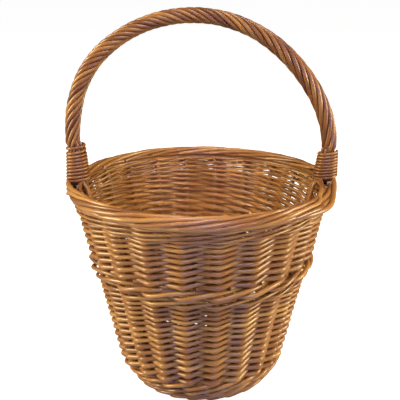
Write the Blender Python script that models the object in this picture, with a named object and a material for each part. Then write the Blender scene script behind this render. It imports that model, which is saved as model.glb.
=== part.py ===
"""Willow egg collection basket: a stake-and-strand basket with a tall roped bow handle.

Metres, +Z up. The origin is the centre of the base on the ground, the handle's arch
stands in the X-Z plane, and the front of the basket faces -Y.

The basket is built the way it is made: a slath of base sticks held by the base weave,
stakes pushed in beside the sticks and bent up, five bands of weaving round the stakes,
the rolled border on top, and a bow with a rope of strands wound along it, whose feet
pass through the border into the siding and are bound with a wrapping of thin rod.
Each band of weaving is one closed ring with a channel for every stake, because
neighbouring rods bear on each other everywhere.
"""

from math import asin, cos, pi, sin, tau

import bmesh
import bpy
from mathutils import Vector

# ---------------------------------------------------------------- driving dimensions
GAP = 0.0003               # clearance between pieces that bear on each other
CHANNEL_GAP = 0.0005       # and round a stake, in the channel woven for it
WALL = 0.0120              # a stake with a rod on each side of it

STAKES = 22
STAKE_D = 0.0050
STAKE_START_R = 0.0410     # where a stake's butt begins in the base
STAKE_SIDES = 6
BEND_OUT = 0.0058          # the bend, outside and above the edge of the base
BEND_UP = 0.0020

BASE_R = 0.0567            # edge of the base weave
BASE_HOLE_R = 0.0160       # the first round of base weave, close round the slath
BASE_Z = 0.0070            # height of the stick centres at the edge of the base
BASE_CROWN = 0.0040        # the base is domed upwards by this much
BASE_HALF_T = 0.0055
STICKS_EACH_WAY = 3
STICK_SIDES = 6
PIERCED_D = 0.0080
THROUGH_D = 0.0050
BUTT_OFFSET = 0.0076       # from a stick's centre to the stake beside it

FOOT_R = 0.0640            # outer edge of the face that the basket stands on
UPSETT_TOP_Z = 0.0295
UPSETT_TOP_R = 0.0857      # outside radius where the upsett ends
RIM_Z = 0.2020             # underside of the border
RIM_R = 0.1290             # outside radius of the weaving there
LOWER_SIDING_TOP_Z = 0.1270
MID_WALE_TOP_Z = 0.1450
MID_WALE_BULGE = 0.0014
TOP_WALE_Z = 0.1950

BORDER_R = 0.1274
BORDER_Z = 0.2105
BORDER_TUBE_R = 0.0080

ARCH_R = 0.1283            # half the span of the handle, centre line
ARCH_SPRING_Z = 0.2500     # where the sides of the arch start to curve
ARCH_TOP_Z = 0.3772
ARCH_SWAY = 0.0082         # the top of the hand-bent arch stands this far to the left
ARCH_SWAY_Z = 0.3500       # and has all of it from this height
BOW_D = 0.0070
BOW_END_D = 0.0056
BOW_END_Z = 0.1500
BOW_SIDE_SHIFT = 0.0076    # the bow's feet go down beside the side stakes

STRANDS = 8
STRAND_D = 0.0034
STRAND_LEAD = 0.0640       # one full turn of a strand, along the bow
STRAND_STEPS = 8           # points in one turn
STRAND_SIDES = 5
ROPE_END_Z = 0.2205        # the strands stop just above the border

WRAP_TOP_Z = 0.2475
WRAP_FOOT_Z = 0.2190
WRAP_TOP_R = 0.0099
WRAP_FOOT_R = 0.0124
WRAP_TOP_LEAN = 0.0012     # the wrapping takes in the rod ends on the inner side
WRAP_FOOT_LEAN = 0.0036

WILLOW = {                 # colour, roughness
    "willow_siding": ((0.42, 0.20, 0.075), 0.42),
    "willow_wale": ((0.36, 0.16, 0.060), 0.42),
    "willow_stakes": ((0.34, 0.16, 0.060), 0.50),
    "willow_base": ((0.38, 0.20, 0.085), 0.55),
    "willow_border": ((0.45, 0.21, 0.075), 0.38),
    "willow_handle": ((0.47, 0.22, 0.080), 0.36),
    "willow_wrap": ((0.52, 0.27, 0.110), 0.40),
}


# ---------------------------------------------------------------- scene and materials
def clear_scene():
    for obj in list(bpy.data.objects):
        bpy.data.objects.remove(obj, do_unlink=True)


def make_material(name):
    colour, roughness = WILLOW[name]
    material = bpy.data.materials.new(name)
    material.use_nodes = True
    shader = material.node_tree.nodes["Principled BSDF"]
    shader.inputs["Base Color"].default_value = (*colour, 1.0)
    shader.inputs["Roughness"].default_value = roughness
    shader.inputs["Metallic"].default_value = 0.0
    return material


def make_object(name, mesh, material):
    obj = bpy.data.objects.new(name, mesh)
    bpy.context.scene.collection.objects.link(obj)
    mesh.materials.append(material)
    mesh.shade_smooth()
    mesh.set_sharp_from_angle(angle=0.7)
    return obj


def make_cutter(name, mesh):
    obj = bpy.data.objects.new(name, mesh)
    bpy.context.scene.collection.objects.link(obj)
    obj.hide_render = True
    obj.display_type = "WIRE"
    return obj


def cut_away(obj, cutters):
    for cutter in cutters:
        modifier = obj.modifiers.new("Channel", "BOOLEAN")
        modifier.operation = "DIFFERENCE"
        modifier.solver = "EXACT"
        modifier.object = cutter


# ---------------------------------------------------------------- shape helpers
def interpolate(points, value):
    """Straight-line interpolation through (value, result) points in rising order."""
    for (v0, r0), (v1, r1) in zip(points, points[1:]):
        if value <= v1:
            return r0 + (r1 - r0) * (value - v0) / (v1 - v0)
    return points[-1][1]


def ease(value):
    value = min(max(value, 0.0), 1.0)
    return value * value * (3.0 - 2.0 * value)


def path_frames(points, side):
    """Tangent and two normals at each point; `side` is roughly square to the path."""
    frames = []
    for i in range(len(points)):
        ahead = points[min(i + 1, len(points) - 1)]
        behind = points[max(i - 1, 0)]
        tangent = (ahead - behind).normalized()
        across = (side - tangent * side.dot(tangent)).normalized()
        frames.append((tangent, across, tangent.cross(across)))
    return frames


def tube_bmesh(points, radii, sides, side_vector):
    bm = bmesh.new()
    rings = []
    for point, radius, frame in zip(points, radii, path_frames(points, side_vector)):
        _, u, v = frame
        ring = [
            bm.verts.new(point + (u * cos(tau * k / sides) + v * sin(tau * k / sides)) * radius)
            for k in range(sides)
        ]
        rings.append(ring)
    for lower, upper in zip(rings, rings[1:]):
        for k in range(sides):
            bm.faces.new((lower[k], lower[(k + 1) % sides], upper[(k + 1) % sides], upper[k]))
    bm.faces.new(list(reversed(rings[0])))
    bm.faces.new(rings[-1])
    bmesh.ops.recalc_face_normals(bm, faces=bm.faces)
    return bm


def finish_mesh(name, bm):
    mesh = bpy.data.meshes.new(name)
    bm.to_mesh(mesh)
    bm.free()
    return mesh


def tube_mesh(name, points, radii, sides, side_vector):
    return finish_mesh(name, tube_bmesh(points, radii, sides, side_vector))


def turned_ring(name, section, segments):
    """Spin a closed (radius, z) section round the Z axis, with a facet centred on +X."""
    bm = bmesh.new()
    verts = [bm.verts.new(on_circle(r, pi / segments, z)) for r, z in section]
    edges = [bm.edges.new((a, b)) for a, b in zip(verts, verts[1:] + verts[:1])]
    bmesh.ops.spin(
        bm, geom=verts + edges, cent=(0, 0, 0), axis=(0, 0, 1),
        angle=tau, steps=segments, use_merge=True,
    )
    bmesh.ops.remove_doubles(bm, verts=bm.verts, dist=1e-6)
    bmesh.ops.recalc_face_normals(bm, faces=bm.faces)
    return finish_mesh(name, bm)


def on_circle(radius, angle, z):
    return Vector((radius * cos(angle), radius * sin(angle), z))


# ---------------------------------------------------------------- base
def base_height(radius):
    return BASE_Z + BASE_CROWN * (1.0 - (radius / BASE_R) ** 2)


def stick_path(row, pitch, turned):
    """One base stick: straight through the slath, then fanned out at both ends."""
    spread = row * tau / (4 * STICKS_EACH_WAY)
    inner = Vector((BASE_HOLE_R * 0.85, row * pitch, 0.0))
    outer = Vector(((BASE_R - GAP) * cos(spread), (BASE_R - GAP) * sin(spread), 0.0))
    half = [inner, inner.lerp(outer, 0.5), outer]
    flat = [Vector((-p.x, p.y, 0.0)) for p in reversed(half)] + half
    path = []
    for p in flat:
        x, y = (p.y, p.x) if turned else (p.x, p.y)
        path.append(Vector((x, y, base_height(Vector((x, y)).length))))
    return path


def build_base_sticks(material):
    """Three pierced sticks with three more through their slits."""
    rows = range(-(STICKS_EACH_WAY // 2), STICKS_EACH_WAY // 2 + 1)
    pierced_pitch = PIERCED_D + 2 * GAP
    through_pitch = THROUGH_D + 2 * GAP
    slit_half = (STICKS_EACH_WAY * through_pitch) / 2 + GAP
    slit_bm = bmesh.new()
    bmesh.ops.create_cube(slit_bm, size=1.0)
    bmesh.ops.scale(slit_bm, vec=(2 * slit_half, 4 * PIERCED_D, THROUGH_D + 2 * GAP), verts=slit_bm.verts)
    bmesh.ops.translate(slit_bm, vec=(0, 0, base_height(0.0) - BASE_CROWN * 0.03), verts=slit_bm.verts)
    slit = make_cutter("slit_cutter", finish_mesh("slit_cutter", slit_bm))

    channels = []
    for turned, diameter, pitch, kind in (
        (False, PIERCED_D, pierced_pitch, "pierced"),
        (True, THROUGH_D, through_pitch, "through"),
    ):
        for number, row in enumerate(rows, 1):
            path = stick_path(row, pitch, turned)
            radii = [diameter / 2] * len(path)
            name = f"base_stick_{kind}_{number}"
            up = Vector((0, 0, 1))
            stick = make_object(name, tube_mesh(name, path, radii, STICK_SIDES, up), material)
            if kind == "pierced":
                cut_away(stick, [slit])
            wide = [r + GAP for r in radii]
            run = (path[-1] - path[-2]).normalized()
            back = (path[0] - path[1]).normalized()
            longer = [path[0] + back * 0.002, *path[1:-1], path[-1] + run * 0.002]
            channels.append(make_cutter(name + "_channel", tube_mesh(name, longer, wide, STICK_SIDES, up)))
    return channels


def build_base_weave(material, channels):
    steps = 2
    radii = [BASE_HOLE_R + (BASE_R - BASE_HOLE_R) * k / steps for k in range(steps + 1)]
    top = [(r, base_height(r) + BASE_HALF_T) for r in radii]
    bottom = [(r, base_height(r) - BASE_HALF_T) for r in reversed(radii)]
    weave = make_object("base_weave", turned_ring("base_weave", top + bottom, 12 * STICKS_EACH_WAY), material)
    cut_away(weave, channels)


# ---------------------------------------------------------------- stakes
def outside_radius(z):
    """Outer surface of the weaving; the upsett flares more than the sides."""
    edge = [(0.0, FOOT_R), (0.002, FOOT_R + 0.0035), (0.005, FOOT_R + 0.006)]
    return interpolate([*edge, (UPSETT_TOP_Z, UPSETT_TOP_R), (RIM_Z, RIM_R)], z)


def stake_angle(index):
    return tau * index / STAKES


def butt_line(index):
    """Direction and side of the base stick that a stake's butt is pushed in beside.

    The two side sticks take one stake each and the other ten stick ends take two.
    """
    half = STAKES // 2
    step = tau / (4 * STICKS_EACH_WAY)
    place = index % half
    turn = pi * (index // half)
    if place == 0:
        return turn, 1.0
    return turn + step * ((place + 1) // 2), -1.0 if place % 2 else 1.0


def stake_path(index):
    stick_angle, side = butt_line(index)
    points = []
    for radius in (STAKE_START_R, BASE_R):
        angle = stick_angle + side * asin(BUTT_OFFSET / radius)
        points.append(on_circle(radius, angle, BASE_Z))
    final = stake_angle(index)
    last = stick_angle + side * asin(BUTT_OFFSET / BASE_R)
    points.append(on_circle(BASE_R + BEND_OUT, last + (final - last) * 0.5, BASE_Z + BEND_UP))
    for z in (UPSETT_TOP_Z, RIM_Z):
        points.append(on_circle(outside_radius(z) - WALL / 2, final, z + GAP / 2))
    points.append(on_circle(BORDER_R - 0.0012, final, BORDER_Z))
    return points


def build_stakes(material):
    up = Vector((0, 0, 1))
    channels = []
    for index in range(STAKES):
        name = f"stake_{index + 1:02d}"
        path = stake_path(index)
        side = up.cross(on_circle(1.0, stake_angle(index), 0.0))
        radii = [STAKE_D / 2] * len(path)
        make_object(name, tube_mesh(name, path, radii, STAKE_SIDES, side), material)
        longer = [
            path[0] + (path[0] - path[1]).normalized() * GAP, *path[1:-1],
            path[-1] + (path[-1] - path[-2]).normalized() * GAP,
        ]
        wide = [r + CHANNEL_GAP for r in radii]
        channels.append(make_cutter(name + "_channel", tube_mesh(name, longer, wide, STAKE_SIDES, side)))
    return channels


# ---------------------------------------------------------------- bands of weaving
def wall_section(low, high, bulge=0.0):
    """Cross-section of the wall between two heights, thicker in the middle by `bulge`."""
    middle = 0.5 * (low + high)
    outer = [(outside_radius(z) + (bulge if z == middle else 0.0), z) for z in (low, middle, high)]
    inner = [(r - WALL - (2 * bulge if z == middle else 0.0), z) for r, z in reversed(outer)]
    return outer + inner if bulge else [outer[0], outer[2], inner[0], inner[2]]


def upsett_section():
    outer = [(outside_radius(z), z) for z in (0.0, 0.002, 0.005, UPSETT_TOP_Z)]
    inside = BASE_R + GAP
    inner = [(UPSETT_TOP_R - WALL, UPSETT_TOP_Z), (inside + 0.0040, BASE_Z + 0.0070)]
    inner += [(inside, BASE_Z + BASE_HALF_T), (inside, 0.0)]
    return outer + inner


def build_weaving(materials, stake_channels, bow_channel):
    siding, wale = materials["willow_siding"], materials["willow_wale"]
    sections = {
        "upsett_wale": (upsett_section(), wale),
        "lower_siding": (wall_section(UPSETT_TOP_Z + GAP, LOWER_SIDING_TOP_Z), siding),
        "mid_wale": (wall_section(LOWER_SIDING_TOP_Z + GAP, MID_WALE_TOP_Z, MID_WALE_BULGE), wale),
        "upper_siding": (wall_section(MID_WALE_TOP_Z + GAP, TOP_WALE_Z), siding),
        "top_wale": (wall_section(TOP_WALE_Z + GAP, RIM_Z), wale),
    }
    for name, (section, material) in sections.items():
        band = make_object(name, turned_ring(name, section, 2 * STAKES), material)
        cut_away(band, stake_channels)
        if name in ("upper_siding", "top_wale"):
            cut_away(band, [bow_channel])


def build_border(material, channels):
    sides = 8
    section = [
        (BORDER_R + BORDER_TUBE_R * cos(tau * k / sides), BORDER_Z + BORDER_TUBE_R * sin(tau * k / sides))
        for k in range(sides)
    ]
    border = make_object("rolled_border", turned_ring("rolled_border", section, 2 * STAKES), material)
    cut_away(border, channels)


# ---------------------------------------------------------------- handle
def bow_point(z, side):
    """Centre of the bow at a height below the spring of the arch."""
    shift = BOW_SIDE_SHIFT * ease((WRAP_TOP_Z - z) / (WRAP_TOP_Z - RIM_Z))
    if z >= BORDER_Z:
        blend = ease((z - BORDER_Z) / (ARCH_SPRING_Z - BORDER_Z))
        x = BORDER_R + (ARCH_R - BORDER_R) * blend
    elif z >= RIM_Z:
        low = outside_radius(RIM_Z) - WALL / 2
        x = low + (BORDER_R - low) * (z - RIM_Z) / (BORDER_Z - RIM_Z)
    else:
        x = outside_radius(z) - WALL / 2
    return Vector((side * x, side * shift, z))


def bow_path(arch_steps):
    """Centre line of the bow from its left foot over the top to its right foot."""
    feet = [BOW_END_Z, RIM_Z + GAP / 2, BORDER_Z]
    feet += [BORDER_Z + (ARCH_SPRING_Z - BORDER_Z) * k / 4 for k in range(1, 4)]
    left = [bow_point(z, -1.0) for z in feet]
    arch = []
    for k in range(arch_steps + 1):
        turn = pi * k / arch_steps
        z = ARCH_SPRING_Z + (ARCH_TOP_Z - ARCH_SPRING_Z) * sin(turn)
        sway = ARCH_SWAY * ease((z - ARCH_SPRING_Z) / (ARCH_SWAY_Z - ARCH_SPRING_Z))
        arch.append(Vector((-ARCH_R * cos(turn) - sway, 0.0, z)))
    right = [bow_point(z, 1.0) for z in reversed(feet)]
    return left + arch + right


def bow_radius(z):
    return interpolate([(BOW_END_Z, BOW_END_D / 2), (BORDER_Z, BOW_D / 2), (ARCH_TOP_Z, BOW_D / 2)], z)


def build_bow(material):
    path = bow_path(20)
    radii = [bow_radius(p.z) for p in path]
    across = Vector((0, 1, 0))
    make_object("handle_bow", tube_mesh("handle_bow", path, radii, 8, across), material)
    low = (path[0] - path[1]).normalized() * 0.001
    longer = [path[0] + low, *path[1:-1], path[-1] + (path[-1] - path[-2]).normalized() * 0.001]
    wide = [r + GAP for r in radii]
    return make_cutter("bow_channel", tube_mesh("bow_channel", longer, wide, 8, across))


def rope_axis():
    """The stretch of the bow that carries the rope, as evenly spaced points."""
    fine = [p for p in bow_path(90) if p.z >= ROPE_END_Z]
    lengths = [0.0]
    for a, b in zip(fine, fine[1:]):
        lengths.append(lengths[-1] + (b - a).length)
    total = lengths[-1]
    count = round(total / STRAND_LEAD * STRAND_STEPS)
    points = []
    for k in range(count + 1):
        distance = total * k / count
        j = max(i for i, length in enumerate(lengths[:-1]) if length <= distance + 1e-9)
        share = (distance - lengths[j]) / (lengths[j + 1] - lengths[j])
        points.append(fine[j].lerp(fine[j + 1], share))
    return points, total / count


def build_strands(material):
    axis, step = rope_axis()
    front = Vector((0, -1, 0))
    ring_radius = BOW_D / 2 + 2 * GAP + STRAND_D / 2
    frames = path_frames(axis, front)
    for strand in range(STRANDS):
        name = f"handle_strand_{strand + 1}"
        points = []
        for k, (centre, (tangent, across, _)) in enumerate(zip(axis, frames)):
            outward = across.cross(tangent)
            turn = tau * (k * step / STRAND_LEAD + strand / STRANDS)
            points.append(centre + (outward * cos(turn) + across * sin(turn)) * ring_radius)
        radii = [STRAND_D / 2] * len(points)
        mesh = helix_tube(name, points, axis, radii)
        make_object(name, mesh, material)


def helix_tube(name, points, axis, radii):
    """Tube along a helix whose section is kept square to the line to the axis."""
    bm = bmesh.new()
    rings = []
    for i, (point, centre, radius) in enumerate(zip(points, axis, radii)):
        ahead = points[min(i + 1, len(points) - 1)]
        behind = points[max(i - 1, 0)]
        tangent = (ahead - behind).normalized()
        out = point - centre
        out = (out - tangent * out.dot(tangent)).normalized()
        along = tangent.cross(out)
        rings.append([
            bm.verts.new(point + (out * cos(a) + along * sin(a)) * radius)
            for a in (tau * (k + 0.5) / STRAND_SIDES for k in range(STRAND_SIDES))
        ])
    for lower, upper in zip(rings, rings[1:]):
        for k in range(STRAND_SIDES):
            j = (k + 1) % STRAND_SIDES
            bm.faces.new((lower[k], lower[j], upper[j], upper[k]))
    bm.faces.new(list(reversed(rings[0])))
    bm.faces.new(rings[-1])
    bmesh.ops.recalc_face_normals(bm, faces=bm.faces)
    return finish_mesh(name, bm)


def build_wrap(name, side, material):
    """Binding round the foot of the handle, one tapered sleeve."""
    sides, levels = 14, 3
    rope_r = BOW_D / 2 + STRAND_D + 3 * GAP + 0.0003
    bm = bmesh.new()
    outer, inner = [], []
    for level in range(levels + 1):
        share = level / levels
        z = WRAP_FOOT_Z + (WRAP_TOP_Z - WRAP_FOOT_Z) * share
        centre = bow_point(z, side)
        lean = Vector((-side * (WRAP_FOOT_LEAN + (WRAP_TOP_LEAN - WRAP_FOOT_LEAN) * share), 0.0, 0.0))
        radius = WRAP_FOOT_R + (WRAP_TOP_R - WRAP_FOOT_R) * share
        for rings, middle, r in ((outer, centre + lean, radius), (inner, centre, rope_r)):
            ring = [middle + Vector((cos(a), sin(a), 0)) * r for a in (tau * k / sides for k in range(sides))]
            rings.append([bm.verts.new(p) for p in ring])
    loops = outer + inner[::-1]
    for a, b in zip(loops, loops[1:] + loops[:1]):
        for k in range(sides):
            j = (k + 1) % sides
            bm.faces.new((a[k], a[j], b[j], b[k]))
    bmesh.ops.recalc_face_normals(bm, faces=bm.faces)
    make_object(name, finish_mesh(name, bm), material)


# ---------------------------------------------------------------- assembly
def main():
    clear_scene()
    materials = {name: make_material(name) for name in WILLOW}
    stick_channels = build_base_sticks(materials["willow_base"])
    stake_channels = build_stakes(materials["willow_stakes"])
    bow_channel = build_bow(materials["willow_handle"])
    build_base_weave(materials["willow_base"], stick_channels + stake_channels)
    build_weaving(materials, stake_channels, bow_channel)
    build_border(materials["willow_border"], [*stake_channels, bow_channel])
    build_strands(materials["willow_handle"])
    build_wrap("handle_wrap_left", -1.0, materials["willow_wrap"])
    build_wrap("handle_wrap_right", 1.0, materials["willow_wrap"])


main()
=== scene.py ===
"""Looks of a willow egg basket: every rod of the weave, the border and the handle.

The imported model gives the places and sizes. Each rod is a path worked out from the
rule that a basket maker follows, and one Geometry Nodes tree, "willow rods", copies the
paths round the basket, makes them a little uneven and gives them their round section.
"""

from math import asin, atan, cos, exp, pi, radians, sin, tau

import bpy
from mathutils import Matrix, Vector


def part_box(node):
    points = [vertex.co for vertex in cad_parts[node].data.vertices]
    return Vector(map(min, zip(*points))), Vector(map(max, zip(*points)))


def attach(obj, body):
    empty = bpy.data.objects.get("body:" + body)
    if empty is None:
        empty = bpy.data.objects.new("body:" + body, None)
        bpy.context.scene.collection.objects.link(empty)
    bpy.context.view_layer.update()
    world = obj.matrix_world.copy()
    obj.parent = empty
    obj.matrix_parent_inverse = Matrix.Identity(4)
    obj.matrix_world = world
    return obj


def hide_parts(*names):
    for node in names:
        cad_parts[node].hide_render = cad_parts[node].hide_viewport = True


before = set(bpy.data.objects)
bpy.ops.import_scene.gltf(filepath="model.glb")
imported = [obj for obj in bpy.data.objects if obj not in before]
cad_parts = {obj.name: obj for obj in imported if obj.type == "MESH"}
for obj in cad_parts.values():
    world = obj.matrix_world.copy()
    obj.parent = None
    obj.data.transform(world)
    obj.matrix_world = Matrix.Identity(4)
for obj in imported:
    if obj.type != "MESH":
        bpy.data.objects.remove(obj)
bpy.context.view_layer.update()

# ---------------------------------------------------------------- sizes from the frame
STAKES = sum(1 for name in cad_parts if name.startswith("stake_"))
STRANDS = sum(1 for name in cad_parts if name.startswith("handle_strand_"))
STEP = tau / STAKES                       # angle from one stake to the next

_, upsett_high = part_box("upsett_wale")
_, rim_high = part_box("top_wale")
border_low, border_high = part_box("rolled_border")
_, base_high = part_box("base_weave")
bow_low, bow_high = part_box("handle_bow")
wrap_low, wrap_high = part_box("handle_wrap_right")

WALL = 0.0120                             # thickness of the weaving
BASE_R = base_high.x
BASE_Z = 0.0070                           # height of the base sticks at the edge
BASE_CROWN = 0.0040                       # how much higher they are in the middle

# height and radius of the centre of the wall
FOOT = (0.0030, BASE_R + 0.0046)          # at the lowest round of weaving
BEND = (0.0130, BASE_R + 0.0118)          # where the stakes have turned up
UPSETT_TOP = (upsett_high.z, upsett_high.x - WALL / 2)
RIM = (rim_high.z, rim_high.x - WALL / 2)

BORDER_TUBE_R = (border_high.z - border_low.z) / 2
BORDER_Z = (border_high.z + border_low.z) / 2
BORDER_R = border_high.x - BORDER_TUBE_R

BOW_R = 0.0035
BOW_END_Z = bow_low.z
BOW_SIDE_SHIFT = 0.0076                   # the ends of the bow go down beside a stake
ARCH_R = (bow_high.x - bow_low.x) / 2 - BOW_R
ARCH_TOP_Z = bow_high.z - BOW_R
ARCH_SPRING_Z = 0.2500
ARCH_SWAY = 0.0082                        # how far the arch leans to the left
ARCH_SWAY_Z = 0.3500                      # and the height where it leans fully
WRAP_FOOT_Z = wrap_low.z
WRAP_TOP_Z = wrap_high.z

STAKE_R = 0.0029
LEAN = atan((RIM[1] - UPSETT_TOP[1]) / (RIM[0] - UPSETT_TOP[0]))


# ---------------------------------------------------------------- small helpers
HOOP_STEPS = 120


def ease(value):
    value = min(max(value, 0.0), 1.0)
    return value * value * (3.0 - 2.0 * value)


def mix(a, b, share):
    return a + (b - a) * share


def through(points, t):
    """Smooth curve through (t, value) points; the values are floats or vectors."""
    last = len(points) - 2
    k = next((i for i in range(last) if t <= points[i + 1][0]), last)
    t1, p1 = points[k]
    t2, p2 = points[k + 1]
    t0, p0 = points[k - 1] if k else (2 * t1 - t2, p1 * 2 - p2)
    t3, p3 = points[k + 2] if k < last else (2 * t2 - t1, p2 * 2 - p1)
    u = (t - t1) / (t2 - t1)
    m1 = (p2 - p0) * ((t2 - t1) / (t2 - t0))
    m2 = (p3 - p1) * ((t2 - t1) / (t3 - t1))
    return (
        p1 * (2 * u**3 - 3 * u**2 + 1) + m1 * (u**3 - 2 * u**2 + u)
        + p2 * (3 * u**2 - 2 * u**3) + m2 * (u**3 - u**2)
    )


def smooth(route, fine):
    """Points of a smooth curve through the route, with `fine` steps to each next point."""
    points = list(enumerate(route))
    return [through(points, k / fine) for k in range((len(route) - 1) * fine + 1)]


def around(radius, angle, z):
    return Vector((radius * cos(angle), radius * sin(angle), z))


def hoop(radius, z, rod_r):
    """The path of a rod laid right round, its two ends just overlapping."""
    return [(around(radius, tau * k / HOOP_STEPS, z), rod_r) for k in range(HOOP_STEPS + 2)]


def wall_radius(z):
    """Centre of the wall, where the stakes stand."""
    if z < BEND[0]:
        return mix(FOOT[1], BEND[1], (z - FOOT[0]) / (BEND[0] - FOOT[0]))
    if z < UPSETT_TOP[0]:
        return mix(BEND[1], UPSETT_TOP[1], (z - BEND[0]) / (UPSETT_TOP[0] - BEND[0]))
    return mix(UPSETT_TOP[1], RIM[1], (z - UPSETT_TOP[0]) / (RIM[0] - UPSETT_TOP[0]))


def off_wall(z, offset, angle, lean=LEAN):
    """A point at a distance outside (or inside, if negative) the centre of the wall."""
    return around(wall_radius(z) + offset * cos(lean), angle, z - offset * sin(lean))


# ---------------------------------------------------------------- node helpers
def link_or_set(tree, socket, value):
    if isinstance(value, bpy.types.NodeSocket):
        tree.links.new(value, socket)
    else:
        socket.default_value = value


def add_node(tree, kind, inputs=None, **settings):
    """A node with its settings, and its inputs by name or number, linked or set."""
    node = tree.nodes.new(kind)
    for name, value in settings.items():
        setattr(node, name, value)
    for key, value in (inputs or {}).items():
        link_or_set(tree, node.inputs[key], value)
    return node


def maths(tree, operation, a, b=0.0):
    return add_node(tree, "ShaderNodeMath", {0: a, 1: b}, operation=operation).outputs[0]


def vector_maths(tree, operation, a, b=(0.0, 0.0, 0.0)):
    return add_node(tree, "ShaderNodeVectorMath", {0: a, 1: b}, operation=operation).outputs[0]


def scaled(tree, vector, factor):
    inputs = {0: vector, "Scale": factor}
    return add_node(tree, "ShaderNodeVectorMath", inputs, operation="SCALE").outputs[0]


def add_sockets(tree, inputs, outputs):
    for name, kind, default in inputs:
        socket = tree.interface.new_socket(name, in_out="INPUT", socket_type=kind)
        if default is not None:
            socket.default_value = default
    for name, kind in outputs:
        tree.interface.new_socket(name, in_out="OUTPUT", socket_type=kind)


def add_object(name, data):
    obj = bpy.data.objects.new(name, data)
    bpy.context.scene.collection.objects.link(obj)
    return obj


def add_material(name):
    material = bpy.data.materials.new(name)
    material.use_nodes = True
    tree = material.node_tree
    return material, tree, tree.nodes["Principled BSDF"]


# ---------------------------------------------------------------- the rods' geometry tree
UNEVEN = 0.0016            # how far hand work strays, the same for neighbouring rods
UNEVEN_SCALE = 17.0
WOBBLE = 0.0002            # how far each rod strays by itself
WOBBLE_SCALE = 70.0
WOBBLE_STEP = 7.31         # sets one rod's own wobble apart from the next rod's
TINT_SEED = 57             # keeps the tints apart from the thicknesses


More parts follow.
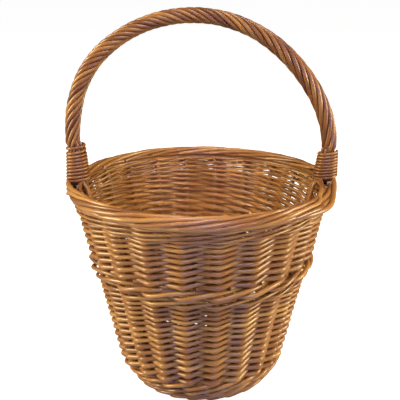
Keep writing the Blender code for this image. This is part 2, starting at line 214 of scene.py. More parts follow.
def make_rod_tree():
    """Copies the paths round the basket and sweeps a round section along each."""
    tree = bpy.data.node_groups.new("willow rods", "GeometryNodeTree")
    add_sockets(
        tree,
        [
            ("Paths", "NodeSocketGeometry", None),
            ("Copies", "NodeSocketInt", 1),
            ("Turn", "NodeSocketFloat", 0.0),
            ("Sides", "NodeSocketInt", 10),
            ("Uneven", "NodeSocketFloat", UNEVEN),
            ("Wobble", "NodeSocketFloat", WOBBLE),
            ("Spread", "NodeSocketFloat", 0.08),
            ("Seed", "NodeSocketInt", 1),
            ("Material", "NodeSocketMaterial", None),
        ],
        [("Rods", "NodeSocketGeometry")],
    )
    given = add_node(tree, "NodeGroupInput").outputs
    curve = add_node(tree, "GeometryNodeMeshToCurve", {"Mesh": given["Paths"]}).outputs[0]
    copied = add_node(
        tree, "GeometryNodeDuplicateElements", {"Geometry": curve, "Amount": given["Copies"]},
        domain="SPLINE",
    )
    turn = maths(tree, "MULTIPLY", copied.outputs["Duplicate Index"], given["Turn"])
    index = add_node(tree, "GeometryNodeInputIndex").outputs[0]
    rod = add_node(
        tree, "GeometryNodeFieldOnDomain", {0: index}, data_type="INT", domain="CURVE"
    ).outputs[0]
    place = add_node(tree, "GeometryNodeInputPosition").outputs[0]
    turned = add_node(
        tree, "ShaderNodeVectorRotate", {"Vector": place, "Angle": turn}, rotation_type="Z_AXIS"
    ).outputs[0]
    laid = add_node(tree, "GeometryNodeSetPosition", {"Geometry": copied.outputs[0], "Position": turned})

    shared = add_node(
        tree, "ShaderNodeTexNoise",
        {"Vector": place, "Scale": UNEVEN_SCALE, "Detail": 1.0}, noise_dimensions="3D",
    )
    own_phase = maths(tree, "ADD", maths(tree, "MULTIPLY", rod, WOBBLE_STEP), given["Seed"])
    own = add_node(
        tree, "ShaderNodeTexNoise",
        {"Vector": place, "W": own_phase, "Scale": WOBBLE_SCALE, "Detail": 1.0}, noise_dimensions="4D",
    )
    half = (0.5, 0.5, 0.5)
    drift = scaled(tree, vector_maths(tree, "SUBTRACT", shared.outputs["Color"], half), given["Uneven"])
    shake = scaled(tree, vector_maths(tree, "SUBTRACT", own.outputs["Color"], half), given["Wobble"])
    offset = vector_maths(tree, "ADD", drift, shake)
    moved = add_node(tree, "GeometryNodeSetPosition", {"Geometry": laid.outputs[0], "Offset": offset})

    spread = given["Spread"]
    girth = add_node(tree, "FunctionNodeRandomValue", data_type="FLOAT")
    tree.links.new(maths(tree, "SUBTRACT", 1.0, spread), girth.inputs[2])
    tree.links.new(maths(tree, "ADD", 1.0, maths(tree, "MULTIPLY", spread, 0.5)), girth.inputs[3])
    tint = add_node(tree, "FunctionNodeRandomValue", {2: 0.0, 3: 1.0}, data_type="FLOAT")
    for node, shift in ((girth, 0), (tint, TINT_SEED)):
        tree.links.new(rod, node.inputs["ID"])
        tree.links.new(maths(tree, "ADD", given["Seed"], float(shift)), node.inputs["Seed"])
    radius = add_node(
        tree, "GeometryNodeInputNamedAttribute", {"Name": "rod_radius"}, data_type="FLOAT"
    ).outputs[0]
    size = maths(tree, "MULTIPLY", radius, girth.outputs[1])
    sized = moved.outputs[0]
    length = add_node(tree, "GeometryNodeSplineParameter").outputs["Length"]
    for name, value in (("along", length), ("tint", tint.outputs[1])):
        sized = add_node(
            tree, "GeometryNodeStoreNamedAttribute", {"Geometry": sized, "Name": name, "Value": value},
            data_type="FLOAT", domain="POINT",
        ).outputs[0]

    circle = add_node(
        tree, "GeometryNodeCurvePrimitiveCircle", {"Resolution": given["Sides"], "Radius": 1.0}
    )
    section = add_node(
        tree, "GeometryNodeStoreNamedAttribute",
        {"Geometry": circle.outputs[0], "Name": "section", "Value": place},
        data_type="FLOAT_VECTOR", domain="POINT",
    ).outputs[0]
    tube = add_node(
        tree, "GeometryNodeCurveToMesh",
        {"Curve": sized, "Profile Curve": section, "Scale": size, "Fill Caps": True},
    ).outputs[0]
    rounded = add_node(
        tree, "GeometryNodeSetShadeSmooth", {"Geometry": tube, "Shade Smooth": True}
    ).outputs[0]
    whole = add_node(tree, "GeometryNodeRealizeInstances", {"Geometry": rounded}).outputs[0]
    painted = add_node(
        tree, "GeometryNodeSetMaterial", {"Geometry": whole, "Material": given["Material"]}
    ).outputs[0]
    add_node(tree, "NodeGroupOutput", {0: painted})
    return tree


ROD_TREE = make_rod_tree()


def path_mesh(name, paths):
    """A mesh of open chains; each path is a list of (point, radius)."""
    mesh = bpy.data.meshes.new(name)
    points, edges, radii = [], [], []
    for path in paths:
        start = len(points)
        points += [point for point, _ in path]
        radii += [radius for _, radius in path]
        edges += [(k, k + 1) for k in range(start, start + len(path) - 1)]
    mesh.from_pydata(points, edges, [])
    mesh.attributes.new("rod_radius", "FLOAT", "POINT").data.foreach_set("value", radii)
    return mesh


def rods(name, paths, material, slot, replaced=(), copies=1, seed=1, sides=10, cut_end=None, **sizes):
    """One finished piece of willow rods, riding on the basket."""
    obj = add_object(name, path_mesh(name, paths))
    modifier = obj.modifiers.new("Rods", "NODES")
    modifier.node_group = ROD_TREE
    values = {
        "Copies": copies, "Turn": tau / copies, "Sides": sides, "Seed": seed, "Material": material, **sizes
    }
    for item in ROD_TREE.interface.items_tree:
        if item.in_out == "INPUT" and item.name in values:
            modifier[item.identifier] = values[item.name]
    depsgraph = bpy.context.evaluated_depsgraph_get()
    mesh = bpy.data.meshes.new_from_object(obj.evaluated_get(depsgraph), depsgraph=depsgraph)
    obj.modifiers.remove(modifier)
    obj.data = mesh
    mesh.name = name
    mesh.materials.clear()
    mesh.materials.append(material)
    if cut_end:
        mesh.materials.append(cut_end)
        for face in mesh.polygons:
            if len(face.vertices) == sides:
                face.material_index = 1
                face.use_smooth = False
    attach(obj, "root")
    if replaced:
        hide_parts(*replaced)
    return obj


# ---------------------------------------------------------------- materials
# each pattern: how fine it is across the rod and along it, and its detail
STREAK_PATTERN = (2.6, 38.0, 4.0)
TONE_PATTERN = (0.35, 22.0, 2.0)
LENTICEL_PATTERN = (1.9, 420.0, 1.0)
LENTICEL_FROM, LENTICEL_TO = 0.64, 0.72    # pattern values where a lenticel starts and is full
LENTICEL_DEPTH = 0.6
TINT_SHIFT = 3.7                           # each rod shows another stretch of the patterns


def make_grain_group():
    """Streaks along a rod, slow changes of tone, lenticels and their height."""
    tree = bpy.data.node_groups.new("willow grain", "ShaderNodeTree")
    add_sockets(
        tree,
        [("Streak Scale", "NodeSocketFloat", 1.0), ("Lenticels", "NodeSocketFloat", 0.5)],
        [("Tone", "NodeSocketFloat"), ("Streaks", "NodeSocketFloat"), ("Marks", "NodeSocketFloat"),
         ("Tint", "NodeSocketFloat"), ("Height", "NodeSocketFloat")],
    )
    given = add_node(tree, "NodeGroupInput").outputs
    section = add_node(tree, "ShaderNodeAttribute", attribute_name="section").outputs["Vector"]
    along = add_node(tree, "ShaderNodeAttribute", attribute_name="along").outputs["Fac"]
    tint = add_node(tree, "ShaderNodeAttribute", attribute_name="tint").outputs["Fac"]
    flat = add_node(tree, "ShaderNodeSeparateXYZ", {0: section}).outputs
    shifted = maths(tree, "ADD", along, maths(tree, "MULTIPLY", tint, TINT_SHIFT))

    def field(across, lengthwise, detail):
        wide = maths(tree, "MULTIPLY", given["Streak Scale"], across)
        vector = add_node(
            tree, "ShaderNodeCombineXYZ",
            {0: maths(tree, "MULTIPLY", flat[0], wide), 1: maths(tree, "MULTIPLY", flat[1], wide),
             2: maths(tree, "MULTIPLY", shifted, lengthwise)},
        ).outputs[0]
        return add_node(
            tree, "ShaderNodeTexNoise",
            {"Vector": vector, "Scale": 1.0, "Detail": detail, "Roughness": 0.6},
        ).outputs["Fac"]

    streaks = field(*STREAK_PATTERN)
    tone = field(*TONE_PATTERN)
    spots = field(*LENTICEL_PATTERN)
    marks = add_node(
        tree, "ShaderNodeMapRange",
        {"Value": spots, "From Min": LENTICEL_FROM, "From Max": LENTICEL_TO, "To Max": given["Lenticels"]},
    ).outputs[0]
    height = maths(tree, "SUBTRACT", streaks, maths(tree, "MULTIPLY", marks, LENTICEL_DEPTH))
    add_node(
        tree, "NodeGroupOutput",
        {"Tone": tone, "Streaks": streaks, "Marks": marks, "Tint": tint, "Height": height},
    )
    return tree


GRAIN = make_grain_group()

# tones of buff willow from the darkest rod in a bundle to the lightest
BUFF_TONES = (
    (0.00, (0.130, 0.040, 0.010)),
    (0.30, (0.260, 0.092, 0.018)),
    (0.55, (0.390, 0.165, 0.030)),
    (0.80, (0.500, 0.245, 0.048)),
    (1.00, (0.600, 0.335, 0.085)),
)
LENTICEL_COLOUR = (0.075, 0.028, 0.010, 1.0)
MIDDLE_TONE = 0.34
TINT_WEIGHT = 0.38         # change of tone from rod to rod
TONE_WEIGHT = 1.0          # slow change along a rod
STREAK_WEIGHT = 0.55


def make_willow(name, lift=0.0, streak_scale=1.0, roughness=0.42, coat=0.6, lenticels=0.5):
    """Varnished buff willow; `lift` moves every rod along the range of tones."""
    material, tree, shader = add_material(name)
    grain = add_node(tree, "ShaderNodeGroup", node_tree=GRAIN)
    grain.inputs["Streak Scale"].default_value = streak_scale
    grain.inputs["Lenticels"].default_value = lenticels
    tint = maths(tree, "MULTIPLY", grain.outputs["Tint"], TINT_WEIGHT)
    tone = maths(tree, "SUBTRACT", grain.outputs["Tone"], 0.5)
    tone = maths(tree, "MULTIPLY", tone, TONE_WEIGHT)
    streak = maths(tree, "SUBTRACT", grain.outputs["Streaks"], 0.5)
    streak = maths(tree, "MULTIPLY", streak, STREAK_WEIGHT)
    lifted = maths(tree, "ADD", streak, MIDDLE_TONE + lift)
    place = maths(tree, "ADD", maths(tree, "ADD", tint, tone), lifted)
    ramp = add_node(tree, "ShaderNodeValToRGB", {0: place})
    elements = ramp.color_ramp.elements
    while len(elements) < len(BUFF_TONES):
        elements.new(0.5)
    for element, (position, colour) in zip(elements, BUFF_TONES):
        element.position = position
        element.color = (*colour, 1.0)
    blend = add_node(
        tree, "ShaderNodeMixRGB", {0: grain.outputs["Marks"], 1: ramp.outputs["Color"], 2: LENTICEL_COLOUR}
    )
    tree.links.new(blend.outputs[0], shader.inputs["Base Color"])
    rough = add_node(
        tree, "ShaderNodeMapRange",
        {"Value": grain.outputs["Streaks"], "From Min": 0.3, "From Max": 0.7,
         "To Min": roughness - 0.08, "To Max": roughness + 0.12},
    ).outputs[0]
    tree.links.new(rough, shader.inputs["Roughness"])
    bump = add_node(
        tree, "ShaderNodeBump", {"Strength": 0.35, "Distance": 0.0003, "Height": grain.outputs["Height"]}
    )
    tree.links.new(bump.outputs[0], shader.inputs["Normal"])
    shader.inputs["Coat Weight"].default_value = coat
    shader.inputs["Coat Roughness"].default_value = 0.24
    shader.inputs["Coat IOR"].default_value = 1.5
    shader.inputs["Specular IOR Level"].default_value = 0.5
    return material


def make_cut_end():
    """The pale pith and rings of a rod cut across."""
    material, tree, shader = add_material("willow_cut_end")
    place = add_node(tree, "ShaderNodeTexCoord").outputs["Object"]
    noise = add_node(
        tree, "ShaderNodeTexNoise", {"Vector": place, "Scale": 900.0, "Detail": 3.0}
    ).outputs["Fac"]
    ramp = add_node(tree, "ShaderNodeValToRGB", {0: noise})
    ramp.color_ramp.elements[0].color = (0.36, 0.22, 0.10, 1.0)
    ramp.color_ramp.elements[1].color = (0.74, 0.58, 0.36, 1.0)
    tree.links.new(ramp.outputs["Color"], shader.inputs["Base Color"])
    bump = add_node(tree, "ShaderNodeBump", {"Strength": 0.4, "Distance": 0.0002, "Height": noise})
    tree.links.new(bump.outputs[0], shader.inputs["Normal"])
    shader.inputs["Roughness"].default_value = 0.75
    return material


WILLOW_SIDING = make_willow("willow_siding", lift=0.02)
WILLOW_WALE = make_willow("willow_wale", streak_scale=1.2)
# the stakes are painted lighter than the other rods: painted light, so that they show up in the shade
# between the strokes
WILLOW_STAKE = make_willow("willow_stake", lift=0.10, streak_scale=1.3)
WILLOW_BASE = make_willow("willow_base", roughness=0.50, coat=0.2)
WILLOW_BORDER = make_willow("willow_border", lift=-0.06, streak_scale=1.5)
WILLOW_HANDLE = make_willow("willow_handle", lift=-0.19, streak_scale=0.8, roughness=0.36, coat=0.4)
WILLOW_WRAP = make_willow("willow_wrap", lift=-0.20, streak_scale=0.8, coat=0.5)
CUT_END = make_cut_end()


# ---------------------------------------------------------------- siding
FOLD_SHARPNESS = 0.985     # nearer to 1 gives a sharper bend over each stake
FOLD_STEPS = (0.0, 0.07, 0.18, 0.34, 0.5, 0.66, 0.82, 0.93)     # closer together at the stakes
TUCK = 0.75                # how far past a stake a rod's end is tucked in
FLATTENING = 0.26          # how much a rod spreads where it bends over a stake
PRESSED = 0.8              # the share of a rod's radius left between its centre and a stake


def fold(s):
    """In front of a stake at even counts (+1) and behind it at odd ones (-1)."""
    return asin(FOLD_SHARPNESS * cos(pi * s)) / asin(FOLD_SHARPNESS)


def siding_path(start_z, rows, first_pitch, last_pitch, girth):
    """One rod of the randing: in front of one stake, behind the next, always rising.

    It starts behind a stake. The rods are thick at the start and thin at the end, so
    the rows get closer.
    """
    counts = [k + step for k in range(-2, rows + 1) for step in FOLD_STEPS]
    path = []
    for s in counts:
        if -1.0 - TUCK <= s <= rows + TUCK:
            laid = min(max(s, -1.0), rows)
            pitch = mix(first_pitch, last_pitch, laid / rows)
            z = start_z + first_pitch * laid + (last_pitch - first_pitch) * laid * laid / (2 * rows)
            radius = girth * pitch
            offset = (STAKE_R + PRESSED * radius) * fold(s)
            spread = 1.0 + FLATTENING * abs(cos(pi * s)) ** 6
            path.append((off_wall(z, offset, s * STEP), radius * spread))
    return path


# ---------------------------------------------------------------- waling
UPSETT_LEAN = radians(6)   # the wall still turns up there
STROKE_STEPS = 9           # points from one stake to the next


def wale_stroke(low_z, rod_d, level, lean, behind, fronts):
    """One stroke of a wale: in front of two or three stakes and behind the next.

    Count 0 is the first stake passed in front; the stroke starts and ends behind a
    stake, where the strokes before and after it join on.
    """
    last = fronts - 1
    # by count: offset in rod diameters, offset in stake radii, and rise in rows
    out = [(-1, -0.5), (-0.5, 0.0), (0, 1.20), (last, 0.5), (last + 0.5, 0.0), (last + 1, -0.5)]
    stake = [(-1, -1.0), (-0.5, 0.0), (0, 1.0), (last, 1.0), (last + 0.5, 0.0), (last + 1, -1.0)]
    rise = [(-1, behind), (-0.5, 0.1), (0, 0.5), (0.5, 1.3), (last, fronts - 0.5)]
    rise += [(last + 0.5, fronts - 0.8), (last + 1, behind)]
    path = []
    steps = STROKE_STEPS * (fronts + 1)
    for k in range(steps + 1):
        s = -1.0 + (fronts + 1) * k / steps
        offset = through(out, s) * rod_d + through(stake, s) * STAKE_R
        path.append((off_wall(low_z + through(rise, s) * level, offset, s * STEP, lean), rod_d / 2))
    return path


def wale_rounds(low_z, rod_d, rounds, lean=LEAN, crowd=1.0, behind=0.5, fronts=2):
    """Strokes one above the other; `crowd` is the rows' distance in rod diameters."""
    level = rod_d * crowd
    rise = fronts * level
    return [wale_stroke(low_z + rise * n, rod_d, level, lean, behind, fronts) for n in range(rounds)]


# ---------------------------------------------------------------- stakes and base
def base_height(radius):
    return BASE_Z + BASE_CROWN * (1.0 - (radius / BASE_R) ** 2)


STICKS = 3                 # in each direction of the slath
STICK_ENDS = 4 * STICKS
BUTT_OFFSET = 0.0076       # from the centre of a base stick to the stake beside it
BUTT_START_R = 0.0410
SLATH_R = 0.0136           # where the sticks start to fan out
STAKE_THINNING = 0.92      # a stake's thickness at the top against that at its butt
WALL_POINTS = 7            # points of a stake's route above its bend


def butt_line(index):
    """The base stick that a stake's butt lies beside, and on which side of it."""
    half = STAKES // 2
    place = index % half
    turn = pi * (index // half)
    if place == 0:
        return turn, 1.0
    return turn + tau / STICK_ENDS * ((place + 1) // 2), -1.0 if place % 2 else 1.0


def stake_path(index):
    stick, side = butt_line(index)
    final = index * STEP
    start = stick + side * asin(BUTT_OFFSET / BUTT_START_R)
    edge = stick + side * asin(BUTT_OFFSET / BASE_R)
    route = [
        around(BUTT_START_R, start, BASE_Z),
        around(mix(BUTT_START_R, BASE_R, 0.5), mix(start, edge, 0.5), BASE_Z),
        around(BASE_R, edge, BASE_Z),
        around(BASE_R + 0.0060, mix(edge, final, 0.6), BASE_Z + 0.0009),
        off_wall(BEND[0], 0.0, final),
    ]
    for k in range(1, WALL_POINTS + 1):
        route.append(off_wall(mix(BEND[0], RIM[0], k / WALL_POINTS), 0.0, final))
    route.append(around(wall_radius(RIM[0]) + 0.0003, final, RIM[0] + 0.0018))
    line = smooth(route, 6)
    return [
        (point, STAKE_R * mix(1.0, STAKE_THINNING, k / (len(line) - 1))) for k, point in enumerate(line)
    ]


def stick_path(row, pitch, turned, radius):
    """A base stick: straight through the slath, then fanned out at both ends."""
    spread = row * tau / STICK_ENDS
    end = Vector((cos(spread), sin(spread))) * (BASE_R - 0.0003)
    bend = Vector((SLATH_R, row * pitch))
    half = [Vector((0.0, row * pitch)), bend * 0.55 + Vector((0.0, row * pitch * 0.45))]
    half += [bend.lerp(end, k / 6) for k in range(7)]
    full = [Vector((-p.x, p.y)) for p in reversed(half[1:])] + half
    path = []
    for p in full:
        x, y = (p.y, p.x) if turned else (p.x, p.y)
        path.append((Vector((x, y, base_height(p.length))), radius))
    return path


def pairing_paths(first_r, last_r, rod_d, stick_r):
    """Two rods that twist round each other, one over and one under each stick."""
    rounds = round((last_r - first_r) / (rod_d * 1.12))
    steps = 8 * STICK_ENDS
    paths = []
    for strand in (0, 1):
        path = []
        for k in range(rounds * steps + 1):
            angle = tau * k / steps
            phase = angle * STICK_ENDS / 2 + pi * strand
            centre = mix(first_r, last_r, k / (rounds * steps))
            swing = stick_r + rod_d / 2
            r = centre + rod_d * 0.5 * sin(phase)
            path.append((around(r, angle, base_height(centre) + swing * cos(phase)), rod_d / 2))
        paths.append(path)
    return paths


def base_edge_paths():
    """Rods laid inside the foot of the stakes, which close the edge of the base."""
    return [hoop(BASE_R + 0.0040, 0.0108, 0.0024), hoop(BASE_R + 0.0068, 0.0148, 0.0022)]


# ---------------------------------------------------------------- border
FOOT_TURN = radians(3.4)
OVER_THE_TOP = 4.55        # a tail's count where it goes from the outside to the inside
# each foot of the bow: angle, how far the border's rods part outwards and inwards,
# and how many degrees before and after it they do
PARTINGS = (
    (FOOT_TURN, 0.0088, 0.0088, 40.0, 20.0),
    (pi + FOOT_TURN, 0.0076, 0.0070, 16.0, 24.0),
)
BULGE_TURN = radians(-27.0)      # the border hangs out here, in front of the right foot
BULGE_SPREAD = radians(13.0)
BULGE_OUT = 0.0040
BULGE_DROP = 0.0030


def part_round_feet(out, up, angle, crossing):
    """Keeps a tail on one side of each foot of the bow; the rods open like a V."""
    for foot, outwards, inwards, before, after in PARTINGS:
        away = (angle - foot + pi) % tau - pi
        side = 1.0 if (crossing - foot + pi) % tau - pi > 0.0 else -1.0
        near = 1.0 - abs(away) / radians(before if away < 0.0 else after)
        if near > 0.0:
            wanted = (outwards if side > 0.0 else inwards) * near ** 0.8
            wanted *= 1.0 - 0.2 * (up / BORDER_TUBE_R) ** 2
            if side * out < wanted:
                # the underside of the border stays closed below the bow
                above_underside = ease((up + 0.0045) / 0.0040)
                out = mix(out, side * wanted, ease(near * 4.0) * above_underside)
    return out


def border_point(count, tube_r, turn_degrees, start_angle):
    """A point in the border: stakes passed, and place in its round section.

    0 degrees faces outwards, 90 is the top and 180 faces into the basket.
    """
    angle = start_angle + count * STEP
    out = tube_r * cos(radians(turn_degrees))
    up = tube_r * sin(radians(turn_degrees))
    out = part_round_feet(out, up, angle, start_angle + OVER_THE_TOP * STEP)
    beside = (angle - BULGE_TURN + pi) % tau - pi
    bulge = exp(-((beside / BULGE_SPREAD) ** 2)) * ease((out + 0.0060) / 0.0080) * ease(count / 1.5)
    return around(BORDER_R + out + BULGE_OUT * bulge, angle, BORDER_Z + up - BULGE_DROP * bulge)


TAIL_STEPS = 120
TAIL_R = (0.00240, 0.00186)      # a tail's radius at its start and at its tip
# the route of a tail: stakes passed, distance from the border's centre in millimetres
# and degrees round the border's section
TAIL_ROUTE = (
    (0.00, 8.7, -120), (0.14, 7.4, -108), (0.45, 5.6, -92), (0.90, 5.1, -77), (1.45, 5.4, -58),
    (2.20, 5.5, -24), (3.10, 5.5, 20), (4.00, 5.5, 64), (4.85, 5.4, 106), (5.50, 5.2, 138),
    (6.20, 5.1, 172),
)


def border_tail(index):
    """The top of one stake, laid down to the right and rolled over the ones before."""
    route = [(count, Vector((tube, turn))) for count, tube, turn in TAIL_ROUTE]
    path = []
    for k in range(TAIL_STEPS + 1):
        count = route[-1][0] * (k / TAIL_STEPS) ** 1.15
        tube, turn = through(route, count)
        place = border_point(count, tube / 1000, turn, index * STEP)
        path.append((place, mix(*TAIL_R, k / TAIL_STEPS)))
    return path


def border_core():
    """Rods laid round inside the border; the upper ones are cut off near the feet."""
    paths = [
        hoop(BORDER_R - 0.0008, BORDER_Z - 0.0040, 0.0023),
        hoop(BORDER_R + 0.0040, BORDER_Z - 0.0034, 0.0023),
    ]
    steps = HOOP_STEPS // 2
    for foot in (FOOT_TURN, pi + FOOT_TURN):
        for out, up, gap in ((-0.0026, 0.0002, 15.0), (0.0022, 0.0010, 11.0)):
            first = foot + radians(gap)
            last = foot + pi - radians(gap - 2.0)
            turns = [mix(first, last, k / steps) for k in range(steps + 1)]
            paths.append([(around(BORDER_R + out, turn, BORDER_Z + up), 0.0022) for turn in turns])
    return paths


# ---------------------------------------------------------------- handle
def bow_point(z, side):
    shift = BOW_SIDE_SHIFT * ease((WRAP_TOP_Z - z) / (WRAP_TOP_Z - RIM[0]))
    if z >= BORDER_Z:
        x = mix(BORDER_R, ARCH_R, ease((z - BORDER_Z) / (ARCH_SPRING_Z - BORDER_Z)))
    elif z >= RIM[0]:
        x = mix(RIM[1], BORDER_R, (z - RIM[0]) / (BORDER_Z - RIM[0]))
    else:
        x = wall_radius(z)
    return Vector((side * x, side * shift, z))


def bow_line(low_z, arch_steps=120, foot_steps=16):
    """Centre line of the bow above a height, from the left foot to the right."""
    heights = [mix(low_z, ARCH_SPRING_Z, k / foot_steps) for k in range(foot_steps)]
    arch = []
    for k in range(arch_steps + 1):
        turn = pi * k / arch_steps
        z = ARCH_SPRING_Z + (ARCH_TOP_Z - ARCH_SPRING_Z) * sin(turn)
        sway = ARCH_SWAY * ease((z - ARCH_SPRING_Z) / (ARCH_SWAY_Z - ARCH_SPRING_Z))
        arch.append(Vector((-ARCH_R * cos(turn) - sway, 0.0, z)))
    left = [bow_point(z, -1.0) for z in heights]
    right = [bow_point(z, 1.0) for z in reversed(heights)]
    return left + arch + right


# for each foot: lowest and highest turn of the binding, outer edge at the bottom and at
# the top, inner edge at the bottom and at the top
WRAPS = {
    -1.0: (0.2150, 0.2500, 0.1360, 0.1358, 0.1108, 0.1154),
    1.0: (0.2145, 0.2455, 0.1396, 0.1380, 0.1134, 0.1172),
}
WRAP_ROD_R = 0.00155
WRAP_PITCH = 2.25 * WRAP_ROD_R
WRAP_STEPS = 30            # points in one turn of a binding
SQUEEZE = 0.5              # how much of the bow's thickness goes inside a binding
STRAND_SQUEEZE = 0.15      # and of a strand's
SQUEEZE_ABOVE = 0.0040     # the rope is free this far above a binding
ARM_FROM_Z, ARM_TO_Z = 0.2520, 0.3350
ARM_FULLNESS = 0.09
ARM_EASE = 0.0300          # the height over which the rope gets fuller or thinner
TOP_FULLNESS = 0.3         # the part of an arm's fullness that the top of the arch has
RIGHT_FULLNESS = 1.04


def squeeze(point):
    """How much the rope is pressed together: 1 inside the binding, 0 above it."""
    wrap_top = WRAPS[1.0 if point.x > 0.0 else -1.0][1]
    return ease((wrap_top + SQUEEZE_ABOVE - point.z) / 0.0050)


def fullness(point):
    """How thick the rope is: fuller on the arms of the arch, and on the right."""
    at_top = ease((point.z - ARM_TO_Z) / ARM_EASE)
    on_arm = ease((point.z - ARM_FROM_Z) / ARM_EASE) * mix(1.0, TOP_FULLNESS, at_top)
    on_right = mix(1.0, RIGHT_FULLNESS, ease((point.x - 0.02) / 0.08))
    return (1.0 + ARM_FULLNESS * on_arm) * on_right


def core_radius(point):
    return BOW_R * (1.0 - SQUEEZE * squeeze(point))


STRAND_R = 0.00192
# turns of the strands along the bow: share of its length, turns
LAY = (
    (0.0, 0.0), (0.06, 0.20), (0.14, 0.62), (0.30, 1.75),
    (0.50, 3.20), (0.65, 4.10), (0.85, 4.95), (1.0, 5.45),
)
ROPE_FOOT_Z = WRAP_FOOT_Z - 0.0010


def strand_path(number):
    """One strand of the rope round the bow: a right-handed helix, slacker on the right."""
    line = bow_line(ROPE_FOOT_Z)
    front = Vector((0.0, -1.0, 0.0))
    lengths = [0.0]
    for k in range(1, len(line)):
        lengths.append(lengths[-1] + (line[k] - line[k - 1]).length)
    path = []
    for k, centre in enumerate(line):
        tangent = (line[min(k + 1, len(line) - 1)] - line[max(k - 1, 0)]).normalized()
        across = (front - tangent * front.dot(tangent)).normalized()
        outward = across.cross(tangent)
        turn = tau * (through(LAY, lengths[k] / lengths[-1]) + number / STRANDS)
        fuller = fullness(centre)
        thick = STRAND_R * fuller
        ring = core_radius(centre) * fuller + thick + 0.0001
        place = centre + (outward * cos(turn) + across * sin(turn)) * ring
        path.append((place, thick * (1.0 - STRAND_SQUEEZE * squeeze(centre))))
    return path


def wrap_path(side):
    """Thin rod bound round the rope and the liners at one foot of the handle."""
    low, high, outer_low, outer_high, inner_low, inner_high = WRAPS[side]
    turns = (high - low) / WRAP_PITCH
    steps = round(turns * WRAP_STEPS)
    path = []
    for k in range(steps + 1):
        share = k / steps
        # the last turn on the left stands a little loose above the others
        loose = ease(share * turns - turns + 1.6) * 0.0020 if side < 0.0 else 0.0
        z = mix(low, high - 0.0020, share) + loose
        outer = mix(outer_low, outer_high, share)
        inner = mix(inner_low, inner_high, share)
        half_x, half_y = (outer - inner) / 2 - WRAP_ROD_R, mix(0.0094, 0.0082, share)
        turn = tau * turns * share + 0.6
        slant = 0.0007 * cos(turn)
        middle = Vector((side * (outer + inner) / 2, bow_point(z, side).y, z + slant))
        path.append((middle + Vector((half_x * cos(turn), half_y * sin(turn), 0.0)), WRAP_ROD_R))
    return path


# each liner: place across the foot, how far it stands up above the binding, and how
# much nearer to the bow it lies than a rod that touches the binding
LINERS = ((-0.0040, 0.0050, 0.0030), (-0.0006, 0.0024, 0.0004), (0.0036, 0.0044, 0.0016))


def liner_paths(side):
    """Rods bound in with the rope on its inner side, which run down inside the basket."""
    low, high, _, _, inner_low, inner_high = WRAPS[side]
    paths = []
    for across, above, nearer in LINERS:
        route = []
        for share in (1.0, 0.66, 0.33, 0.0):
            z = mix(low, high, share)
            inner = mix(inner_low, inner_high, share) + 2 * WRAP_ROD_R + 0.0018 + nearer
            route.append(Vector((side * inner, bow_point(z, side).y + across, z)))
        above_top = route[0] + Vector((side * 0.45 * above, 0.0, above))
        y = route[-1].y
        route = [above_top] + route
        route.append(Vector((side * (BORDER_R - BORDER_TUBE_R - 0.0034), y, BORDER_Z - 0.0020)))
        for z in (0.2000, 0.1900, 0.1800):
            route.append(Vector((side * (wall_radius(z) - WALL / 2 - 0.0028), y, z)))
        paths.append([(point, 0.0020) for point in smooth(route, 5)])
    return paths


# each cut strand end: distance outwards from the bow, reach towards the front, and the
# heights where it starts and ends
FOOT_TAILS = (
    (-0.0054, 0.0130, 0.2100, 0.2125), (-0.0018, 0.0210, 0.2060, 0.2100),
    (0.0016, 0.0150, 0.2080, 0.2128), (0.0036, 0.0250, 0.2050, 0.2090),
    (0.0044, 0.0120, 0.2095, 0.2125), (-0.0044, 0.0280, 0.2040, 0.2078),
)


def foot_tail_paths(side):
    """Ends of the strands, cut off in the gap between the border's rods."""
    foot = bow_point(BORDER_Z, side)
    paths = []
    for out, reach, low_z, end_z in FOOT_TAILS:
        route = [
            Vector((foot.x + side * out, foot.y + 0.0040, low_z)),
            Vector((foot.x + side * out * 1.1, foot.y - reach * 0.4, mix(low_z, end_z, 0.5))),
            Vector((foot.x + side * out, foot.y - reach, end_z)),
        ]
        paths.append([(point, 0.0018) for point in smooth(route, 6)])
    return paths


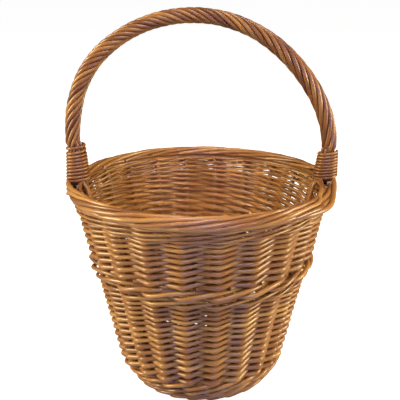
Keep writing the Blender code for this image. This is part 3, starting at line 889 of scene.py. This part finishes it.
# ---------------------------------------------------------------- making the pieces
def build_basket():
    for number in range(STAKES):
        rods(
            f"willow_stake_{number + 1:02d}", [stake_path(number)], WILLOW_STAKE, "willow_stakes",
            [f"stake_{number + 1:02d}"], seed=200 + number, cut_end=CUT_END,
        )
    upsett = wale_rounds(low_z=0.0021, rod_d=0.0040, rounds=1, lean=UPSETT_LEAN, crowd=0.80, fronts=3)
    upsett += wale_rounds(low_z=0.0112, rod_d=0.0041, rounds=2, lean=UPSETT_LEAN, crowd=1.08)
    rods("upsett_rods", upsett, WILLOW_WALE, "willow_wale", ["upsett_wale"], copies=STAKES, seed=11)
    lower = siding_path(start_z=0.0315, rows=27, first_pitch=0.00440, last_pitch=0.00238, girth=0.622)
    rods(
        "lower_siding_rods", [lower], WILLOW_SIDING, "willow_siding", ["lower_siding"],
        copies=STAKES, seed=21,
    )
    mid = wale_rounds(low_z=0.1228, rod_d=0.0032, rounds=1, crowd=1.15, behind=0.8)
    mid += wale_rounds(low_z=0.1318, rod_d=0.0045, rounds=1, crowd=1.1)
    rods("mid_wale_rods", mid, WILLOW_WALE, "willow_wale", ["mid_wale"], copies=STAKES, seed=31)
    upper = siding_path(start_z=0.1456, rows=15, first_pitch=0.00388, last_pitch=0.00226, girth=0.64)
    rods(
        "upper_siding_rods", [upper], WILLOW_SIDING, "willow_siding", ["upper_siding"],
        copies=STAKES, seed=41,
    )
    top = wale_rounds(low_z=0.1929, rod_d=0.0026, rounds=3, crowd=0.92, behind=1.2)
    rods("top_wale_rods", top, WILLOW_WALE, "willow_wale", ["top_wale"], copies=STAKES, seed=51)
    border = [border_tail(k) for k in range(STAKES)] + border_core()
    rods(
        "border_rods", border, WILLOW_BORDER, "willow_border", ["rolled_border"],
        seed=61, sides=12, cut_end=CUT_END, Wobble=0.0014, Spread=0.16,
    )


def build_base():
    rows = range(-(STICKS // 2), STICKS // 2 + 1)
    for kind, turned, radius in (("pierced", False, 0.0043), ("through", True, 0.0028)):
        for number, row in enumerate(rows, 1):
            path = stick_path(row, 2 * radius, turned, radius)
            rods(
                f"willow_stick_{kind}_{number}", [path], WILLOW_BASE, "willow_base",
                [f"base_stick_{kind}_{number}"], seed=300 + number, sides=14, cut_end=CUT_END,
                Uneven=0.0, Wobble=0.0, Spread=0.0,
            )
    weave = pairing_paths(first_r=0.0172, last_r=BASE_R + 0.0036, rod_d=0.0027, stick_r=0.0034)
    rods(
        "base_weave_rods", weave + base_edge_paths(), WILLOW_BASE, "willow_base", ["base_weave"],
        seed=71, sides=8, Uneven=0.0004, Wobble=0.0003,
    )


def build_handle():
    core = [(point, core_radius(point)) for point in bow_line(BOW_END_Z, foot_steps=30)]
    rods(
        "handle_core", [core], WILLOW_HANDLE, "willow_handle", ["handle_bow"],
        seed=81, Uneven=0.0, cut_end=CUT_END,
    )
    for number in range(STRANDS):
        rods(
            f"handle_rope_{number + 1}", [strand_path(number)], WILLOW_HANDLE, "willow_handle",
            [f"handle_strand_{number + 1}"], seed=90 + number, sides=12, cut_end=CUT_END,
            Uneven=0.0, Wobble=0.00035,
        )
    for word, side in (("left", -1.0), ("right", 1.0)):
        rods(
            f"handle_binding_{word}", [wrap_path(side)], WILLOW_WRAP, "willow_wrap", [f"handle_wrap_{word}"],
            seed=110, sides=10, cut_end=CUT_END, Uneven=0.0, Wobble=0.0003,
        )
        rods(
            f"handle_liners_{word}", liner_paths(side), WILLOW_WRAP, "willow_wrap", seed=120, sides=12,
            cut_end=CUT_END, Uneven=0.0,
        )
        rods(
            f"handle_tails_{word}", foot_tail_paths(side), WILLOW_HANDLE, "willow_handle", seed=130,
            sides=12, cut_end=CUT_END, Uneven=0.0,
        )


# ---------------------------------------------------------------- stage, lights and camera
SEEN_BRIGHTNESS = 0.90     # glow of the floor and the world, only where the camera sees them
WORLD_LIGHT = 0.10
WHITE = (1.0, 1.0, 1.0, 1.0)


def make_floor():
    """A pale sweep that looks nearly white but throws little light back."""
    mesh = bpy.data.meshes.new("floor")
    half = 14.0
    corners = [(-half, -half, 0), (half, -half, 0), (half, half, 0), (-half, half, 0)]
    mesh.from_pydata(corners, [], [(0, 1, 2, 3)])
    floor = add_object("floor", mesh)
    material, tree, shader = add_material("pale_floor")
    shader.inputs["Roughness"].default_value = 0.9
    shader.inputs["Specular IOR Level"].default_value = 0.1
    seen = add_node(tree, "ShaderNodeLightPath").outputs["Is Camera Ray"]
    colour = add_node(
        tree, "ShaderNodeMixRGB", {0: seen, 1: (0.45, 0.45, 0.45, 1.0), 2: (0.80, 0.80, 0.80, 1.0)}
    )
    glow = maths(tree, "MULTIPLY", seen, SEEN_BRIGHTNESS)
    tree.links.new(colour.outputs[0], shader.inputs["Base Color"])
    tree.links.new(glow, shader.inputs["Emission Strength"])
    shader.inputs["Emission Color"].default_value = WHITE
    mesh.materials.append(material)


def area_light(name, place, target, size, power, colour, spread=180.0):
    data = bpy.data.lights.new(name, "AREA")
    data.shape = "RECTANGLE"
    data.size, data.size_y = size
    data.energy = power
    data.spread = radians(spread)
    data.color = colour
    light = add_object(name, data)
    light.location = place
    light.rotation_euler = (Vector(target) - Vector(place)).to_track_quat("-Z", "Y").to_euler()


def make_lights():
    middle = (0.0, 0.0, 0.16)
    back_wall = (0.0, 0.10, 0.135)
    warm = (1.0, 0.86, 0.54)
    rosy = (1.0, 0.86, 0.80)
    dusky = (1.0, 0.82, 0.74)
    cold = (0.12, 0.26, 1.0)
    area_light("left_softbox", (-1.30, -0.20, 0.50), middle, (0.5, 0.6), 21.0, warm)
    area_light("right_softbox", (1.30, -0.16, 0.48), middle, (0.5, 0.6), 20.5, warm)
    area_light("top_softbox", (0.0, -0.62, 1.45), middle, (0.6, 0.6), 14.0, rosy)
    area_light("front_fill", (0.10, -1.5, 0.50), middle, (1.2, 0.7), 13.0, cold)
    area_light("inner_fill", (0.0, -0.52, 0.56), back_wall, (0.06, 0.06), 0.045, dusky, spread=20.0)
    world = bpy.data.worlds.new("studio")
    world.use_nodes = True
    tree = world.node_tree
    seen = add_node(tree, "ShaderNodeLightPath").outputs["Is Camera Ray"]
    background = tree.nodes["Background"]
    background.inputs["Color"].default_value = WHITE
    glow = maths(tree, "MULTIPLY", seen, SEEN_BRIGHTNESS)
    tree.links.new(maths(tree, "ADD", glow, WORLD_LIGHT), background.inputs["Strength"])
    bpy.context.scene.world = world
    bpy.context.scene.view_settings.view_transform = "Standard"


def make_camera():
    data = bpy.data.cameras.new("camera")
    data.sensor_width = 36.0
    data.lens = 69.15
    data.clip_start = 0.01
    camera = add_object("camera", data)
    looks_down = 17.58
    camera.location = (-0.0010, -0.7510, 0.4304)
    camera.rotation_euler = (radians(90.0 - looks_down), 0.0, 0.0)
    bpy.context.scene.camera = camera


make_camera()
make_lights()
make_floor()
build_base()
build_basket()
build_handle()
